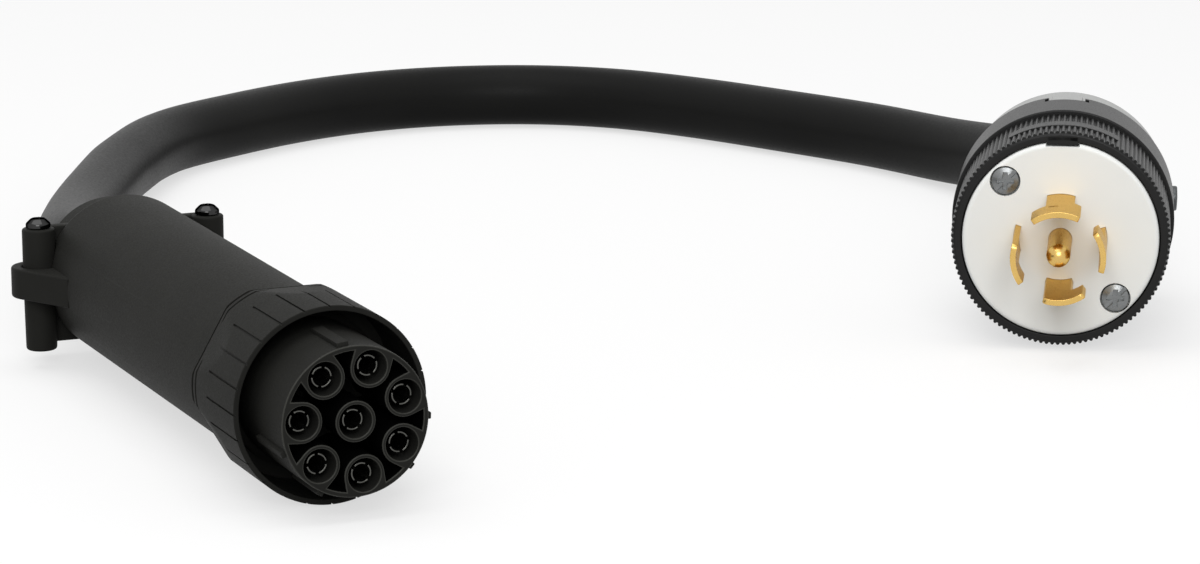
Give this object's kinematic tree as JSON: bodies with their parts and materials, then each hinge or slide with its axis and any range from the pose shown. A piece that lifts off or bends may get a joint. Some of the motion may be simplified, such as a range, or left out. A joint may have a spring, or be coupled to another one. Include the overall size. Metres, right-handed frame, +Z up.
{
  "type": "power adapter lead",
  "caption": "Short heavy power adapter lead: locking plug with hooked curved blades and a centre pin, round cable, and round plastic connector with a turning coupling ring.",
  "frame": {"origin": "on the floor plane under the middle of the two ends' box, without the cable", "axes": "+X from the round connector across to the plug, -Y out of the round connector's mating face, +Z up from the floor"},
  "size_m": [0.365, 0.4937, 0.0606],
  "materials": {
    "black_plastic": "moulded, satin",
    "black_nylon": "moulded, satin",
    "grey_plastic": "moulded, satin",
    "white_nylon": "moulded, satin",
    "brass": "rolled, bright",
    "contact_silver": "plated",
    "zinc_steel": "zinc plated",
    "black_steel": "black, glossy",
    "cable_rubber": "extruded, satin",
    "wire_cover": "extruded"
  },
  "bodies": {
    "lead": {"connector_insert": "black_plastic", "socket_contact_1": "contact_silver", "socket_contact_2": "contact_silver", "socket_contact_3": "contact_silver", "socket_contact_4": "contact_silver", "socket_contact_5": "contact_silver", "socket_contact_6": "contact_silver", "socket_contact_7": "contact_silver", "socket_contact_8": "contact_silver", "hood": "black_plastic", "upper_clamp_saddle": "black_plastic", "lower_clamp_saddle": "black_plastic", "clamp_screw_left": "black_steel", "clamp_screw_right": "black_steel", "plug_face": "white_nylon", "blade_top": "brass", "blade_right": "brass", "blade_bottom": "brass", "blade_left": "brass", "ground_pin": "brass", "terminal_screw_1": "brass", "terminal_screw_2": "brass", "terminal_screw_3": "brass", "terminal_screw_4": "brass", "terminal_screw_5": "brass", "assembly_screw_1": "zinc_steel", "assembly_screw_2": "zinc_steel", "plug_body": "black_nylon", "rear_housing": "grey_plastic", "cord_clamp_jaw": "zinc_steel", "cord_clamp_screw": "zinc_steel", "cable": "cable_rubber", "connector_wire_1": "wire_cover", "connector_wire_2": "wire_cover", "connector_wire_3": "wire_cover", "connector_wire_4": "wire_cover", "connector_wire_5": "wire_cover", "plug_wire_1": "wire_cover", "plug_wire_2": "wire_cover", "plug_wire_3": "wire_cover", "plug_wire_4": "wire_cover", "plug_wire_5": "wire_cover"},
    "ring": {"coupling_ring": "black_plastic"}
  },
  "joints": [
    {"name": "coupling_ring_turn", "type": "hinge", "parent": "lead", "child": "ring", "pos_m": [-0.1318, -0.0665, 0.0233], "axis": [0, -1, 0], "continuous": true}
  ]
}
